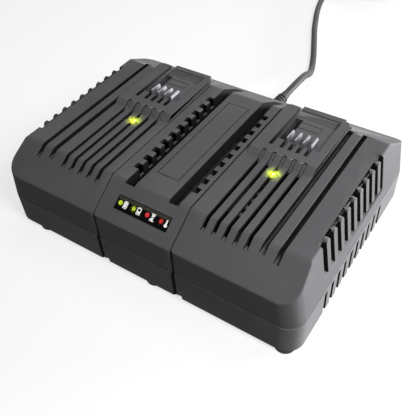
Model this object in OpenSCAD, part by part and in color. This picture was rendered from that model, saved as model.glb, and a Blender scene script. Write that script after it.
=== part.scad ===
// Two-bay battery charger for slide-on tool batteries, built as an assembly of separate pieces.
// Units are millimetres. X runs across the front, Y from the front to the rear, +Z is up.
// The origin is on the ground under the middle of the housing.

/* [Housing] */
// width of the housing where its two halves meet
housing_width = 230; // [222:1:244]
// front to rear depth of the housing
housing_depth = 166; // [160:1:174]
// height of the flat top above the ground
top_height = 62.7; // [61:0.1:66]
// height of the underside above the ground, which is the height of the feet
foot_height = 3; // [2:0.5:5]
// height of the line where the lower shell meets the top mouldings
parting_height = 26; // [24:0.5:28]
// height of the edge between the front face and the front slope
front_edge_height = 47; // [44:0.5:50]
// height of the edge between the rear face and the rear slope
rear_edge_height = 48; // [45:0.5:51]
// horizontal length of the front slope
front_slope_run = 23.9; // [22:0.1:26]
// horizontal length of the rear slope
rear_slope_run = 26.5; // [24:0.5:28]
// radius of the two upright corners at the front
corner_radius = 12; // [8:0.5:14]
// radius of the two upright corners at the rear
rear_corner_radius = 8; // [6:0.5:10]
// thickness of every moulded wall
wall = 2.5; // [2:0.1:2.8]

/* [Battery docks] */
// distance from the middle of the housing to the middle of each dock
dock_offset = 55.75; // [54:0.25:57]
// width of the raised dock
dock_width = 47.75; // [46:0.25:48]
// height of the dock's rails above the flat top
rail_height = 3.3; // [3:0.1:5]
// width of the left rail
left_rail_width = 9.8; // [8:0.1:10.5]
// width of the right rail
right_rail_width = 6; // [5:0.1:7]
// distance between two contact blades
blade_pitch = 5.75; // [5.5:0.05:6]
// how far a blade stands above the dock floor
blade_height = 6.2; // [5:0.1:9]
// thickness of a blade
blade_thickness = 0.9; // [0.7:0.1:1.2]
// depth of the undercut that holds the battery's hooks
hook_undercut = 2.2; // [1:0.1:2.4]

/* [Cooling openings] */
// distance between two fins of the side and spine combs
fin_pitch = 9.4; // [9:0.1:9.6]
// number of openings in each comb
comb_openings = 10; // [6:1:10]
// width of a fin on the side
fin_width = 4.6; // [4:0.1:5.5]
// distance between two slots in front of a dock
slot_pitch = 7.3; // [7:0.1:7.6]
// width of a slot in front of a dock
slot_width = 2.3; // [2:0.1:3]
// number of slots in front of each dock
slot_count = 5; // [3:2:5]
// width of the trenches beside the badge plate
trench_width = 7.2; // [6:0.1:8]
// distance between the middles of the two trenches
trench_spacing = 33.8; // [33:0.1:35]

/* [Mains lead] */
// diameter of the mains lead
cord_diameter = 6; // [5.5:0.1:6.5]
// length of the tapered strain relief behind the housing
relief_length = 38; // [30:1:44]
// radius of the coil's middle turn
coil_radius = 33; // [33:1:36]

/* [Hidden] */
$fn = 48;
cut = 1;                       // how far a cutter passes the face it opens
part_clearance = 0.15;         // free space round a piece that is fitted by hand
thread_clearance = 0.1;        // free space round a screw in its pilot hole
screw_freedom = 0.4;           // free space round a screw or its head where it only passes through

half_width = housing_width / 2;
half_depth = housing_depth / 2;
side_draft = 5.55;             // how far each side leans in from the parting line to the top
front_kink = front_slope_run - half_depth;
rear_kink = half_depth - rear_slope_run;
front_slope = atan2(top_height - front_edge_height, front_slope_run);
rear_slope = atan2(top_height - rear_edge_height, rear_slope_run);
side_lean = atan2(side_draft, top_height - parting_height);

// top mouldings
seam_x = [-31.2, 29.2];        // the two seams between the spine and the dock mouldings
spine_centre = 1.15;
seam_flange = 2;
seam_flange_depth = 11;
reveal = 0.7;                  // width and depth of the shadow lines at the joints
face_notch = 2.1;              // side of the square bar that cuts the V on the front face

// docks; X is measured from the dock's middle, and Y back from the end of the dock floor
dock_left = -24;
dock_right = dock_left + dock_width;
dock_rear = rear_kink + 6.3;
rail_rear = dock_rear - 2.5;
dock_front = dock_rear - 60.8; // foot of the ramp
ramp_run = 5;
ramp_slope = atan2(rail_height, ramp_run);
bar_rear = dock_rear - 40.3;
rail_corner = 4;               // radius that ends the lips, so that the hooks slide in from the rear
rail_top = top_height + rail_height;
dock_floor = top_height - 0.7;
bay_left = dock_left + left_rail_width;
bay_right = dock_right - right_rail_width;
bar_slot_front = bar_rear - 8;
bar_slot_width = 2.4;
first_blade = -5.15;
blade_count = 4;
blade_front = bar_rear + 0.3;
blade_length = 10.2;
blade_round = 1.5;
tail_front = blade_front + 3;
tail_length = 4;
block_rear = dock_rear - 8.8;
block_flange = 2.6;
block_width = 44;
pocket = [-13.3, -7.6];        // left and right side of the latch pocket in the dock floor
pocket_y = [bar_rear + 1.5, block_rear - 2];
pocket_floor = top_height - 8.2;
pocket_wall = 1.5;
dock_board_z = top_height - 12.3;
dock_board_x = [-8.5, 16.5];
board_thickness = 1.6;
dock_board_posts = [[-3, block_rear - 4], [13.5, block_rear - 18], [13.5, block_rear - 3]];
board_post_radius = 2.6;
hook_height = 2.3;
mark_line = [[-8.5, 8.5], [block_rear - 11, block_rear - 4]];

// slots and combs
slot_shift = 1.25;
slot_floor = top_height - 5.4; // level, so that a slot runs out on the front slope
ramp_recess = 1;
ramp_recess_rear = dock_front + ramp_run + 1.3;
outer_groove = span(dock_offset + 35.55, 3);
inner_groove = span(dock_offset + 25.6, 3.4);
groove_rear = rear_kink + 0.5;
outer_groove_floor = slot_floor;
inner_groove_floor = top_height - 4.2;
groove_wall = 1.2;
comb_first = front_kink + 14.9;
comb_y = span(comb_first + (comb_openings - 1) * fin_pitch / 2, comb_openings * fin_pitch - fin_width);
comb_recess_x = half_width - 8.5;
comb_recess_z = parting_height + 10;
fin_foot_z = comb_recess_z + 1.5;
vent_width = 3.8;
vent_top = parting_height - 3.5;
trench_y = [front_kink - 1.4, half_depth - 6];
trench_floor = top_height - 9.7;
comb_reach = 3.7;
comb_slot_width = 4.4;
comb_slot_floor = trench_floor + 3;
badge_width = 17;
badge_y = [front_kink + 15.6, rear_kink - 12.5];
line_width = 0.7;
line_depth = 0.4;

// status panel on the front slope
panel_size = [40.2, 9.3, 0.8];
panel_up = 14.15;              // from the front edge to the middle of the panel, up the slope
light_pitch = 10.5;
light_first = -17.4;
guide_radius = 1.5;
guide_length = 6;
indicator_gap = 1.5;           // height of the lamps on the indicator board
indicator_size = [48, 11];
indicator_board_top = -panel_size[2] - guide_length - indicator_gap;

// boards and fixings
board_size = [housing_width - 42, housing_depth - 44];
board_z = foot_height + 9;
board_top = board_z + board_thickness;
board_inset = 6;
board_post_x = board_size[0] / 2 - board_inset;
board_post_y = board_size[1] / 2 - board_inset;
board_posts = [
    [-board_post_x, -board_post_y], [board_post_x, -board_post_y],
    [-board_post_x, board_post_y], [board_post_x, board_post_y],
    [-30, board_post_y], [30, -board_post_y]
];
side_screws = [
    [half_width - 15, 17 - half_depth], [half_width - 15, half_depth - 19],
    [seam_x[1] + 12.8, 13 - half_depth], [seam_x[1] + 12.8, half_depth - 13]
];
spine_screws = [
    for (y = [7.5 - half_depth, half_depth - 13]) each [[seam_x[0] + 6.2, y], [seam_x[1] - 4.2, y]]
];
post_radius = 3.6;
boss_radius = 4.6;
screw_shoulder = parting_height - 8;
screw_radius = 1.3;
screw_length = 20;
board_screw_length = 6;
dock_screw_hole = span(0, 2 * screw_radius + screw_freedom);
pilot_depth = screw_shoulder + screw_length + cut - parting_height;
head_radius = 2.9;
head_height = 2.4;
feet_x = [26 - half_width, 8.5, half_width - 10];
foot_radius = 6.8;
feet_y = half_depth - foot_radius;
foot_round = 1;                // radius of the foot's lower edge
stem_radius = 2;
lead_radius = 0.9;

// power electronics
transformer = [0, -8];
core_size = [36, 14, 30];
core_window = [22, 20];
core_leg = 8;
winding_depth = 30;
heatsink_size = [13, 48, 28];  // with its fins
heatsink_plate = 3;
heatsink_x = span(transformer[0], 2 * core_size[0] + 1);
heatsink_fins = 7;
package_size = [4.4, 10, 15];
board_rear = board_size[1] / 2;
capacitor_x = [18, 40];        // from the board's outer end
capacitor_y = 17 - board_rear;
capacitor_size = [6, 20];      // radius and height of the can
mains_capacitor_size = [11, 34];
capacitor_crown = [1.25, 0.5]; // how far the scored top stands in from the rim, and its height
mains_capacitor_place = [-14, board_rear - 24];
choke_place = [16, board_rear - 31];
x_capacitor_place = [-14, board_rear - 6];
rectifier_place = [38, board_rear - 17];
fuse_place = [14, board_rear - 9];
mains_lead_y = board_rear - 3;
indicator_lead_y = 3 - board_rear;

// mains lead, coil and plug
cord_radius = cord_diameter / 2;
cord_exit_z = parting_height;
relief_root = 6.2;             // radius of the first rib
relief_tip = 4.6;              // radius of the last rib
relief_neck = 4.4;
relief_core = 3.5;             // radius between the ribs at the tip
relief_ribs = 10;
relief_pitch = (relief_length - 4) / relief_ribs;
relief_rib = 1.7;              // thickness of a rib
relief_flange = [6.6, 2.5];    // radius and thickness of the flange inside the wall
relief_end = half_depth + relief_length;
coil_x = -34;
coil_y = 402;
strand_pitch = cord_diameter * 0.95;
row_rise = strand_pitch * sqrt(3) / 2;
lead_in_x = coil_x - coil_radius - strand_pitch / 2;
lead_length = 34;
plug_z = cord_radius + row_rise;
plug_start = coil_x + lead_length;
plug_y = coil_y + coil_radius + strand_pitch;
plug_width = 35;
plug_relief = 18;
plug_length = 34;
pin_radius = 2;
pin_spacing = 19;
pin_length = 19;
pin_root = 8;
// points on the middle of the lead: straight out of the relief, down to the ground, on to the coil
cord_points = [
    [0, relief_end, cord_exit_z], [0, relief_end + 6, cord_exit_z], [0, 137, 26], [0, 147, 25.6],
    [-1, 157, 23.5], [-3, 167, 19], [-6, 178, 12.5], [-9, 189, 6.8], [-13, 201, cord_radius],
    [-18, 214, cord_radius], [-24, 228, cord_radius], [-31, 243, cord_radius], [-38, 258, cord_radius],
    [-45, 273, cord_radius], [-51, 288, cord_radius], [-57, 303, cord_radius], [-62, 318, cord_radius],
    [-66, 333, cord_radius], [-69, 348, cord_radius],
    [lead_in_x, coil_y - lead_length - 5, cord_radius], [lead_in_x, coil_y - lead_length, cord_radius]
];
cord_sides = 12;

// ---- shared shapes ----

// the two limits of a width about its middle
function span(middle, width) = [middle - width / 2, middle + width / 2];

// box between two limits on each axis
module box(x, y, z) {
    translate([x[0], y[0], z[0]]) cube([x[1] - x[0], y[1] - y[0], z[1] - z[0]]);
}

// box that reaches past the housing above and below
module column(x, y) {
    box(x, y, [-cut, rail_top + 10]);
}

// pulls a side view, with Y to the right and Z up, along +X
module pull_across(width) {
    rotate([90, 0, 90]) linear_extrude(width) children();
}

// copies at a list of places
module at_each(places) {
    for (p = places) translate([p[0], p[1], 0]) children();
}

// what rounding an upright corner takes away: the corner is the Z axis and the material lies at -X and +Y
module corner_waste(radius, z) {
    difference() {
        box([-radius, cut], [-cut, radius], z);
        translate([-radius, radius, z[0] - cut]) cylinder(r = radius, h = z[1] - z[0] + 2 * cut);
    }
}

// plan of the housing's right end, with its side on the Y axis, two round corners and a reach to the left
module end_plan(inset, reach) {
    front = corner_radius - inset;
    rear = rear_corner_radius - inset;
    y = half_depth - inset;
    translate([-reach, front - y]) square([reach, 2 * y - front - rear]);
    translate([-reach, -y]) square([reach - front, y]);
    translate([-reach, 0]) square([reach - rear, y]);
    translate([-front, front - y]) circle(front);
    translate([-rear, y - rear]) circle(rear);
}

// the space inside the lower shell's upright sides, moved inwards by inset, up to a height
module lower_block(inset, top) {
    side = half_width - inset;
    translate([0, 0, foot_height + inset]) linear_extrude(top - foot_height - inset)
        for (end = [0, 1]) mirror([end, 0]) translate([side, 0]) end_plan(inset, side);
}

// the space inside the top mouldings, whose sides lean in and which the two slopes limit, moved inwards by
// inset; it starts just below the parting line
module upper_block(inset = 0) {
    end = half_depth + cut;
    front = front_kink + inset * tan(front_slope / 2);
    rear = rear_kink - inset * tan(rear_slope / 2);
    top = top_height - inset;
    intersection() {
        intersection_for(end = [0, 1]) mirror([end, 0, 0])
            translate([half_width - inset, 0, parting_height]) rotate([0, -side_lean, 0])
                translate([0, 0, -top_height]) linear_extrude(3 * top_height)
                    end_plan(inset, 2 * housing_width);
        translate([-housing_width, 0, 0]) pull_across(2 * housing_width) polygon([
            [-end, parting_height - cut], [-end, top - (front + end) * tan(front_slope)],
            [front, top], [rear, top],
            [end, top - (end - rear) * tan(rear_slope)], [end, parting_height - cut]
        ]);
    }
}

// cutter for a channel of constant depth that follows the top and both slopes
module surface_channel(x, y, depth) {
    difference() {
        box(x, y, [parting_height + cut, top_height + cut]);
        upper_block(depth);
    }
}

// groove with a flat floor that runs out on the front slope; grow thickens it into the trough that holds it
module groove(x, floor_z, grow = 0) {
    box(x + grow * [-1, 1], [-half_depth, groove_rear + grow], [floor_z - grow, top_height + cut]);
}

// placement on the front slope: Y runs up the slope from the front edge, Z points out of it
module on_front_slope() {
    translate([spine_centre, -half_depth, front_edge_height]) rotate([front_slope, 0, 0]) children();
}

module self_tapping_screw(length) {
    cylinder(r = screw_radius, h = length);
    translate([0, 0, -head_height]) difference() {
        cylinder(r = head_radius, h = head_height);
        // cross recess for the driver
        for (a = [0, 90]) rotate(a) translate([-1.6, -0.4, -cut]) cube([3.2, 0.8, cut + 1.2]);
    }
}

// shadow lines: one at the parting line and one beside each seam
module parting_reveal() {
    difference() {
        box([-half_width - cut, half_width + cut], [-half_depth - cut, half_depth + cut],
            [parting_height - cut / 2, parting_height + reveal]);
        upper_block(reveal);
    }
}

module seam_reveal(x) {
    surface_channel([x - reveal / 2, x + reveal / 2], [-half_depth - cut, half_depth + cut], reveal);
}

// upright V on the front face where a seam comes down
module face_notches() {
    for (x = seam_x) translate([x, -half_depth, foot_height - cut]) rotate(45)
        translate([-face_notch / 2, -face_notch / 2, 0]) cube([face_notch, face_notch, front_edge_height]);
}

// ---- lower shell ----

module foot_places() {
    for (x = feet_x, y = [-feet_y, feet_y]) translate([x, y, 0]) children();
}

// the ten upright slots low on each side
module side_vents() {
    for (side = [0, 1], k = [0 : comb_openings - 1]) mirror([side, 0, 0])
        box([half_width - wall - cut / 2, half_width + cut],
            span(comb_first + k * fin_pitch, vent_width), [foot_height - cut, vent_top]);
}

module housing_screw_places() {
    for (side = [0, 1]) mirror([side, 0, 0]) at_each(side_screws) children();
    at_each(spine_screws) children();
}

module bottom_housing() {
    notch = [4, foot_height + 2.6]; // width and top of the two finger notches beside the seams
    color("#37373a") difference() {
        lower_block(0, parting_height);
        difference() {
            lower_block(wall, parting_height + cut);
            housing_screw_places() cylinder(r = boss_radius, h = parting_height);
            at_each(board_posts) cylinder(r = boss_radius - 1, h = board_z);
        }
        housing_screw_places() {
            translate([0, 0, foot_height - cut])
                cylinder(r = head_radius + screw_freedom, h = screw_shoulder - foot_height + cut);
            cylinder(r = screw_radius + screw_freedom, h = parting_height + cut);
        }
        at_each(board_posts) translate([0, 0, foot_height + wall])
            cylinder(r = screw_radius + thread_clearance, h = board_z);
        foot_places() cylinder(r = stem_radius, h = foot_height + wall + cut);
        side_vents();
        face_notches();
        for (x = seam_x)
            box([x + 1, x + 1 + notch[0]], [-half_depth - cut, 2 - half_depth], [0, notch[1]]);
        relief_neck_hole();
    }
}

// ---- top mouldings ----

// what both dock mouldings and the spine share: the skin above the parting line between two limits
module top_skin(x) {
    intersection() {
        upper_block();
        box(x, [-housing_depth, housing_depth], [parting_height, top_height + cut]);
    }
}

module pilot_holes(places) {
    at_each(places) translate([0, 0, parting_height - cut])
        cylinder(r = screw_radius + thread_clearance, h = pilot_depth + cut);
}

// step in the rear slope that carries the ends of a dock's rails and floor
module dock_seat() {
    translate([dock_left, 0, 0]) pull_across(dock_width) polygon([
        [rear_kink, top_height - wall], [rear_kink, top_height], [rail_rear, top_height],
        [rail_rear, dock_floor], [dock_rear, dock_floor], [dock_rear, dock_floor - 4]
    ]);
}

// cooling slots in front of a dock: the floor runs out on the front slope and climbs just below the ramp
module dock_slots() {
    climb = (rail_top - ramp_recess - slot_floor) / tan(ramp_slope);
    for (k = [0 : slot_count - 1])
        translate([span(slot_shift + (k - (slot_count - 1) / 2) * slot_pitch, slot_width)[0], 0, 0])
            pull_across(slot_width) polygon([
                [-half_depth, slot_floor], [dock_front + ramp_run - climb, slot_floor],
                [dock_front + ramp_run, rail_top - ramp_recess], [ramp_recess_rear, rail_top - ramp_recess],
                [ramp_recess_rear, rail_top + cut], [-half_depth, rail_top + cut]
            ]);
}

// what is cut out of a dock moulding under its dock frame
module dock_cuts() {
    // floor of the dock between its rails
    box([bay_left, bay_right], [bar_rear, dock_rear + cut], [dock_floor, rail_top]);
    // window for the contact block
    box([bay_left, bay_right], [bar_rear, block_rear], [top_height - 2 * wall, rail_top]);
    dock_screw_places() column(dock_screw_hole, dock_screw_hole);
    dock_slots();
}

// one fin of the side comb: upright, with a round top that is flush with the flat top
module side_fins() {
    for (k = [0 : comb_openings - 2])
        translate([comb_recess_x - cut, comb_first + (k + 0.5) * fin_pitch, 0])
            pull_across(half_width - comb_recess_x + cut) {
                translate([-fin_width / 2, fin_foot_z])
                    square([fin_width, top_height - fin_width / 2 - fin_foot_z]);
                translate([0, top_height - fin_width / 2]) circle(fin_width / 2);
            }
}

// a dock moulding drawn on the right; side is 1 for the right one and -1 for the left one
module dock_moulding(side) {
    centre = side * dock_offset;
    seam = side > 0 ? seam_x[1] : seam_x[0];
    x = side > 0 ? [seam, housing_width] : [-housing_width, seam];
    turn = side > 0 ? 0 : 1;
    inner_seam = side > 0 ? [seam, seam + seam_flange] : [seam - seam_flange, seam];
    difference() {
        union() {
            top_skin(x);
            translate([centre, 0, 0]) dock_seat();
        }
        difference() {
            upper_block(wall);
            box(inner_seam, [-half_depth, half_depth], [top_height - seam_flange_depth, top_height]);
            mirror([turn, 0, 0]) {
                at_each(side_screws) cylinder(r = post_radius, h = top_height);
                box([comb_recess_x - wall, half_width], comb_y + wall * [-1, 1],
                    [comb_recess_z - wall, top_height]);
                groove(outer_groove, outer_groove_floor, groove_wall);
                groove(inner_groove, inner_groove_floor, groove_wall);
            }
        }
        mirror([turn, 0, 0]) {
            pilot_holes(side_screws);
            groove(outer_groove, outer_groove_floor);
            groove(inner_groove, inner_groove_floor);
            difference() {
                box([comb_recess_x, half_width + cut], comb_y, [comb_recess_z, top_height + cut]);
                side_fins();
            }
        }
        translate([centre, 0, 0]) dock_cuts();
        parting_reveal();
        seam_reveal(seam);
        face_notches();
    }
}

module left_top_housing() {
    color("#4b4b4d") dock_moulding(-1);
}

module right_top_housing() {
    color("#4b4b4d") dock_moulding(1);
}

// trench with a flat floor and a comb of slots along its outer side; side is -1 or 1
module trench(side, grow = 0) {
    centre = spine_centre + side * trench_spacing / 2;
    box(span(centre, trench_width + 2 * grow), trench_y + grow * [-1, 0.2],
        [trench_floor - grow, top_height + cut]);
}

module trench_comb(side) {
    wall_x = spine_centre + side * (trench_spacing + trench_width) / 2;
    for (k = [0 : comb_openings - 1])
        box(side > 0 ? [wall_x - 0.5, wall_x + comb_reach] : [wall_x - comb_reach, wall_x + 0.5],
            span(comb_first + k * fin_pitch, comb_slot_width), [comb_slot_floor, top_height + cut]);
}

module spine_cover() {
    color("#4b4b4d") difference() {
        top_skin(seam_x);
        difference() {
            upper_block(wall);
            for (s = [-1, 1]) trench(s, 2);
            for (x = [[seam_x[0], seam_x[0] + seam_flange], [seam_x[1] - seam_flange, seam_x[1]]])
                box(x, [-half_depth, half_depth], [top_height - seam_flange_depth, top_height]);
            at_each(spine_screws) cylinder(r = post_radius, h = top_height);
            on_front_slope() indicator_posts();
        }
        for (s = [-1, 1]) {
            trench(s);
            trench_comb(s);
        }
        pilot_holes(spine_screws);
        on_front_slope() {
            translate([0, panel_up, 0]) cube(panel_size + [0, 0, panel_size[2]], center = true);
            light_places() translate([0, 0, -2 * wall])
                cylinder(r = guide_radius + part_clearance, h = 2 * wall + cut);
            indicator_screw_places() translate([0, 0, -wall - 5 - cut])
                cylinder(r = screw_radius + thread_clearance, h = 5 + cut);
        }
        // fine line that frames the bare badge plate
        difference() {
            surface_channel(span(spine_centre, badge_width), badge_y, line_depth);
            column(span(spine_centre, badge_width - 2 * line_width), badge_y + line_width * [1, -1]);
        }
        parting_reveal();
        for (x = seam_x) seam_reveal(x);
        face_notches();
        relief_neck_hole();
    }
}

// ---- status panel ----

module light_places() {
    for (k = [0 : 3]) translate([light_first + k * light_pitch, panel_up, 0]) children();
}

module indicator_screw_places() {
    for (x = [-1, 1]) translate([x * (indicator_size[0] / 2 - 2.5), panel_up, 0]) children();
}

module indicator_posts() {
    indicator_screw_places() translate([0, 0, -guide_length - panel_size[2] - indicator_gap])
        cylinder(r = 2.4, h = guide_length + panel_size[2] + indicator_gap);
}

module status_window() {
    color("#262223") on_front_slope() translate([0, panel_up, -panel_size[2] / 2])
        cube(panel_size, center = true);
}

module status_light_guides() {
    color("#d8e0a0") on_front_slope() light_places() translate([0, 0, -panel_size[2] - guide_length])
        cylinder(r = guide_radius, h = guide_length);
}

module indicator_board() {
    color("#24563a") on_front_slope() difference() {
        translate([0, panel_up, indicator_board_top - board_thickness / 2])
            cube([indicator_size[0], indicator_size[1], board_thickness], center = true);
        indicator_screw_places() translate([0, 0, indicator_board_top - board_thickness - cut])
            cylinder(r = screw_radius + part_clearance, h = board_thickness + 2 * cut);
    }
}

module indicator_lamps() {
    color("#e8e4c8") on_front_slope() light_places() translate([-1.6, -1, indicator_board_top])
        cube([3.2, 2, indicator_gap]);
}

// ---- docks ----

// in the middle of the web that each rail keeps beside its undercut
module dock_screw_places() {
    left = bay_left - (left_rail_width - hook_undercut) / 2;
    right = bay_right + (right_rail_width - hook_undercut) / 2;
    for (x = [left, right], y = [bar_rear + 5.8, block_rear - 3.7]) translate([x, y, 0]) children();
}

// frame that carries a battery: a ramp and a slotted bar in front, and an undercut rail on each side
module dock_frame(centre) {
    height = [top_height - cut, rail_top + cut];
    translate([centre, 0, 0]) difference() {
        translate([dock_left, 0, 0]) pull_across(dock_width) polygon([
            [dock_front, top_height], [dock_front + ramp_run, rail_top],
            [rail_rear, rail_top], [rail_rear, top_height]
        ]);
        box([bay_left, bay_right], [bar_rear, rail_rear + cut], height);
        // slots in the bar: one at the left rail and one in line with each blade
        for (x = [bay_left + bar_slot_width / 2, for (k = [0 : blade_count - 1]) first_blade + k * blade_pitch])
            box(span(x, bar_slot_width), [bar_slot_front, bar_rear + cut], height);
        dock_slots();
        // undercuts along both outer sides for the battery's hooks
        for (x = [[dock_left - cut, dock_left + hook_undercut], [dock_right - hook_undercut, dock_right + cut]])
            box(x, [dock_front + ramp_run, rail_rear + cut], [top_height - cut, top_height + hook_height]);
        translate([dock_left, rail_rear, 0]) rotate(180) corner_waste(rail_corner, height);
        translate([dock_right, rail_rear, 0]) mirror([0, 1, 0]) corner_waste(rail_corner, height);
        // screws that come up into the rails
        dock_screw_places() translate([0, 0, top_height - cut])
            cylinder(r = screw_radius + thread_clearance, h = rail_height);
    }
}

module contact_block(centre) {
    flange_z = top_height - wall;
    translate([centre, 0, 0]) difference() {
        union() {
            box([bay_left + part_clearance, bay_right - part_clearance],
                [bar_rear + part_clearance, block_rear - part_clearance], [flange_z - wall, dock_floor]);
            box(span(0, block_width), [bar_rear - block_flange, block_rear + 0.4], [flange_z - wall, flange_z]);
            // cup round the latch pocket
            box(pocket + pocket_wall * [-1, 1], pocket_y + pocket_wall * [-1, 1],
                [pocket_floor - pocket_wall, flange_z]);
            at_each(dock_board_posts) translate([0, 0, dock_board_z + board_thickness])
                cylinder(r = board_post_radius, h = flange_z - dock_board_z - board_thickness);
        }
        box(pocket, pocket_y, [pocket_floor, top_height + cut]);
        for (k = [0 : blade_count - 1])
            box(span(first_blade + k * blade_pitch, blade_thickness),
                [tail_front, tail_front + tail_length], [flange_z - 2 * wall, top_height]);
        dock_screw_places() column(dock_screw_hole, dock_screw_hole);
        at_each(dock_board_posts) translate([0, 0, dock_board_z])
            cylinder(r = screw_radius + thread_clearance, h = board_screw_length + cut);
        // fine line that frames the bare mark on the dock floor
        difference() {
            box(mark_line[0], mark_line[1], [dock_floor - line_depth, top_height]);
            column(mark_line[0] + line_width * [1, -1], mark_line[1] + line_width * [1, -1]);
        }
    }
}

module left_dock_frame() {
    color("#4b4b4d") dock_frame(-dock_offset);
}

module right_dock_frame() {
    color("#4b4b4d") dock_frame(dock_offset);
}

// blade with a round upper rear corner and a tail that goes down through the block and the board
module contact_blades(centre) {
    top = dock_floor + blade_height;
    rear = blade_front + blade_length;
    for (k = [0 : blade_count - 1])
        translate([centre + first_blade + k * blade_pitch - blade_thickness / 2, 0, 0])
            pull_across(blade_thickness) {
                translate([blade_front, dock_floor]) square([blade_length, blade_height - blade_round]);
                translate([blade_front, dock_floor]) square([blade_length - blade_round, blade_height]);
                translate([rear - blade_round, top - blade_round]) circle(blade_round);
                translate([tail_front, dock_board_z - 1])
                    square([tail_length, dock_floor - dock_board_z + 1 + cut]);
            }
}

module dock_board(centre) {
    translate([centre, 0, 0]) difference() {
        box(dock_board_x, [bar_rear - 1, block_rear], [dock_board_z, dock_board_z + board_thickness]);
        for (k = [0 : blade_count - 1])
            box(span(first_blade + k * blade_pitch, blade_thickness),
                [tail_front, tail_front + tail_length],
                [dock_board_z - cut, dock_board_z + board_thickness + cut]);
        at_each(dock_board_posts) translate([0, 0, dock_board_z - cut])
            cylinder(r = screw_radius + part_clearance, h = board_thickness + 2 * cut);
    }
}

// light pipe that stands on the main board and ends in the middle slot of a bay
module dock_light(centre) {
    radius = slot_width / 2 - part_clearance;
    length = top_height - board_top - radius;
    translate([centre + slot_shift, dock_front - 9.2, board_top]) {
        cylinder(r = 2.6, h = 3);
        cylinder(r = radius, h = length);
        translate([0, 0, length]) sphere(r = radius);
    }
}

module left_contact_block() {
    color("#474749") contact_block(-dock_offset);
}

module right_contact_block() {
    color("#474749") contact_block(dock_offset);
}

module left_contact_blades() {
    color("#b9babd") contact_blades(-dock_offset);
}

module right_contact_blades() {
    color("#b9babd") contact_blades(dock_offset);
}

module left_dock_board() {
    color("#24563a") dock_board(-dock_offset);
}

module right_dock_board() {
    color("#24563a") dock_board(dock_offset);
}

module left_dock_light() {
    color("#f4f6b0") dock_light(-dock_offset);
}

module right_dock_light() {
    color("#f4f6b0") dock_light(dock_offset);
}

// ---- power electronics on the main board ----

module on_board(place) {
    translate([place[0], place[1], board_top]) children();
}

module main_board() {
    color("#24563a") difference() {
        box(span(0, board_size[0]), span(0, board_size[1]), [board_z, board_top]);
        at_each(board_posts) translate([0, 0, board_z - cut])
            cylinder(r = screw_radius + part_clearance, h = board_thickness + 2 * cut);
    }
}

// two E-shaped ferrites drawn as one closed core with a middle leg
module transformer_core() {
    side = (core_window[0] - core_leg) / 2;
    color("#2b2b2e") on_board(transformer) difference() {
        translate([-core_size[0] / 2, -core_size[1] / 2, 0]) cube(core_size);
        for (x = [-core_window[0] / 2, core_window[0] / 2 - side])
            translate([x, -core_size[1] / 2 - cut, (core_size[2] - core_window[1]) / 2])
                cube([side, core_size[1] + 2 * cut, core_window[1]]);
    }
}

module transformer_winding() {
    low = (core_size[2] - core_window[1]) / 2;
    color("#c9a227") on_board(transformer) translate([0, 0, low]) difference() {
        translate([-core_window[0] / 2, -winding_depth / 2, 0])
            cube([core_window[0], winding_depth, core_window[1]]);
        translate([-core_leg / 2, -core_size[1] / 2, -cut])
            cube([core_leg, core_size[1], core_window[1] + 2 * cut]);
    }
}

module capacitor_can(size) {
    cylinder(r = size[0], h = size[1]);
    cylinder(r = size[0] - capacitor_crown[0], h = size[1] + capacitor_crown[1]);
}

module mains_capacitor() {
    color("#20242c") on_board(mains_capacitor_place) capacitor_can(mains_capacitor_size);
}

module output_capacitors() {
    color("#20242c") for (side = [-1, 1], x = capacitor_x)
        on_board([side * (board_size[0] / 2 - x), capacitor_y]) capacitor_can(capacitor_size);
}

// upright plate with fins, drawn with the plate's bare face on the Y axis and the fins towards -X
module heatsink() {
    fin_step = (heatsink_size[1] - heatsink_plate) / (heatsink_fins - 1);
    translate([-heatsink_plate, -heatsink_size[1] / 2, 0])
        cube([heatsink_plate, heatsink_size[1], heatsink_size[2]]);
    for (k = [0 : heatsink_fins - 1]) translate([-heatsink_size[0], k * fin_step - heatsink_size[1] / 2, 0])
        cube([heatsink_size[0] - heatsink_plate / 2, heatsink_plate, heatsink_size[2]]);
}

module switch_heatsink() {
    color("#9a9da1") on_board([heatsink_x[0], transformer[1]]) heatsink();
}

module rectifier_heatsink() {
    color("#9a9da1") on_board([heatsink_x[1], transformer[1]]) mirror([1, 0, 0]) heatsink();
}

// flat power packages on the inner faces of both heatsinks
module power_transistors() {
    color("#1c1c1e") for (side = [0, 1], y = heatsink_size[1] * [-0.3, 0.3])
        on_board([heatsink_x[side], transformer[1] + y]) mirror([side, 0, 0]) {
            translate([0, -package_size[1] / 2, 5]) cube(package_size);
            for (pin = [-2.5, 0, 2.5]) translate([2, pin - 0.4, 0]) cube([0.6, 0.8, 5.5]);
        }
}

module mains_choke() {
    color("#a3552b") on_board(choke_place) translate([0, 0, 9]) rotate([90, 0, 0]) rotate_extrude()
        translate([4, -5]) square([5, 10]);
}

module x_capacitor() {
    color("#b79a2e") on_board(x_capacitor_place) translate([-9, -4, 0]) cube([18, 8, 14]);
}

module bridge_rectifier() {
    color("#1c1c1e") on_board(rectifier_place) {
        translate([-11, -2, 4]) cube([22, 4, 15]);
        for (k = [-1.5 : 1.5]) translate([k * 5 - 0.5, -0.5, 0]) cube([1, 1, 4.5]);
    }
}

// glass tube between two metal caps, with its two clips
module fuse() {
    color("#c8c8c4") on_board(fuse_place) {
        translate([-10, 0, 4]) rotate([0, 90, 0]) cylinder(r = 2.2, h = 20);
        for (x = [-10, 5]) {
            translate([x, 0, 4]) rotate([0, 90, 0]) cylinder(r = 2.6, h = 5);
            translate([x, -2.6, 0]) cube([5, 5.2, 3]);
        }
    }
}

// ---- internal leads ----

module dock_leads() {
    color("#8f2f2a") for (centre = [-dock_offset, dock_offset], k = [0 : 3])
        translate([centre + 1 + k * 4, block_rear - 10, board_top])
            cylinder(r = lead_radius, h = dock_board_z - board_top);
}

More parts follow.
